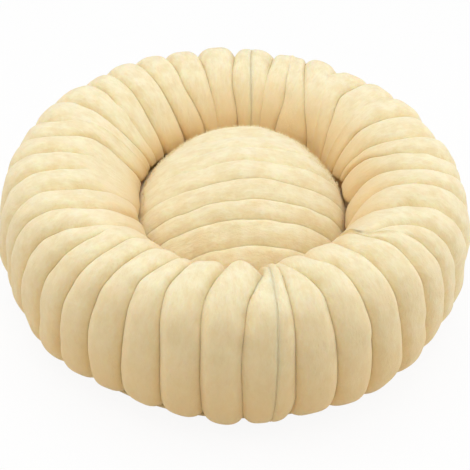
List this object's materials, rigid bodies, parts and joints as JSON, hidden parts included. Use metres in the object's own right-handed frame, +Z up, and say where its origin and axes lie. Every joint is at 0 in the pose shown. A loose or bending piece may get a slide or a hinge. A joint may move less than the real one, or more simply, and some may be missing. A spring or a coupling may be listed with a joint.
{
  "type": "round pet bed",
  "caption": "Round plush pet bed: a stuffed ribbed bolster ring round a well, with a loose domed cushion that lifts out and is closed by a zip underneath.",
  "frame": {"origin": "on the floor under the middle of the bed", "axes": "+Z up; the front, which holds the bolster's front closing seam, is at -Y; +X is to the right seen from the front"},
  "size_m": [0.4999, 0.4999, 0.158],
  "materials": {
    "plush": "short soft pile in wide rounded ribs, matt with a faint sheen on the crests",
    "base_cloth": "plain woven cloth, matt",
    "seam_tape": "narrow woven tape, matt",
    "fibre_filling": "loose white polyester fibre",
    "grip_rubber": "cloth with soft raised dots, matt",
    "zip_tape": "fine woven tape",
    "zip_teeth": "satin nylon",
    "zip_metal": "dull nickel plate"
  },
  "bodies": {
    "bed": {"grip_sheet": "grip_rubber", "base_cloth": "base_cloth", "base_edge_binding": "seam_tape", "bolster_cover_left": "plush", "bolster_cover_right": "plush", "front_closing_seam": "seam_tape", "rear_closing_seam": "seam_tape", "bolster_filling": "fibre_filling", "well_floor_cloth": "base_cloth", "well_edge_tape": "seam_tape"},
    "cushion": {"cushion_top_cover": "plush", "cushion_edge_piping": "seam_tape", "cushion_underside_front": "base_cloth", "cushion_underside_rear": "base_cloth", "cushion_filling": "fibre_filling", "zip_tape_front": "zip_tape", "zip_tape_rear": "zip_tape", "zip_teeth_front": "zip_teeth", "zip_teeth_rear": "zip_teeth", "zip_top_stop": "zip_metal", "zip_bottom_stop": "zip_metal"},
    "zip_slider": {"zip_slider": "zip_metal"}
  },
  "joints": [
    {"name": "cushion_lift", "type": "slide", "parent": "bed", "child": "cushion", "axis": [0, 0, 1], "range_m": [0, 0.2]},
    {"name": "zip_slide", "type": "slide", "parent": "cushion", "child": "zip_slider", "axis": [-0.9951, -0.0993, 0], "range_m": [0, 0.166]}
  ]
}
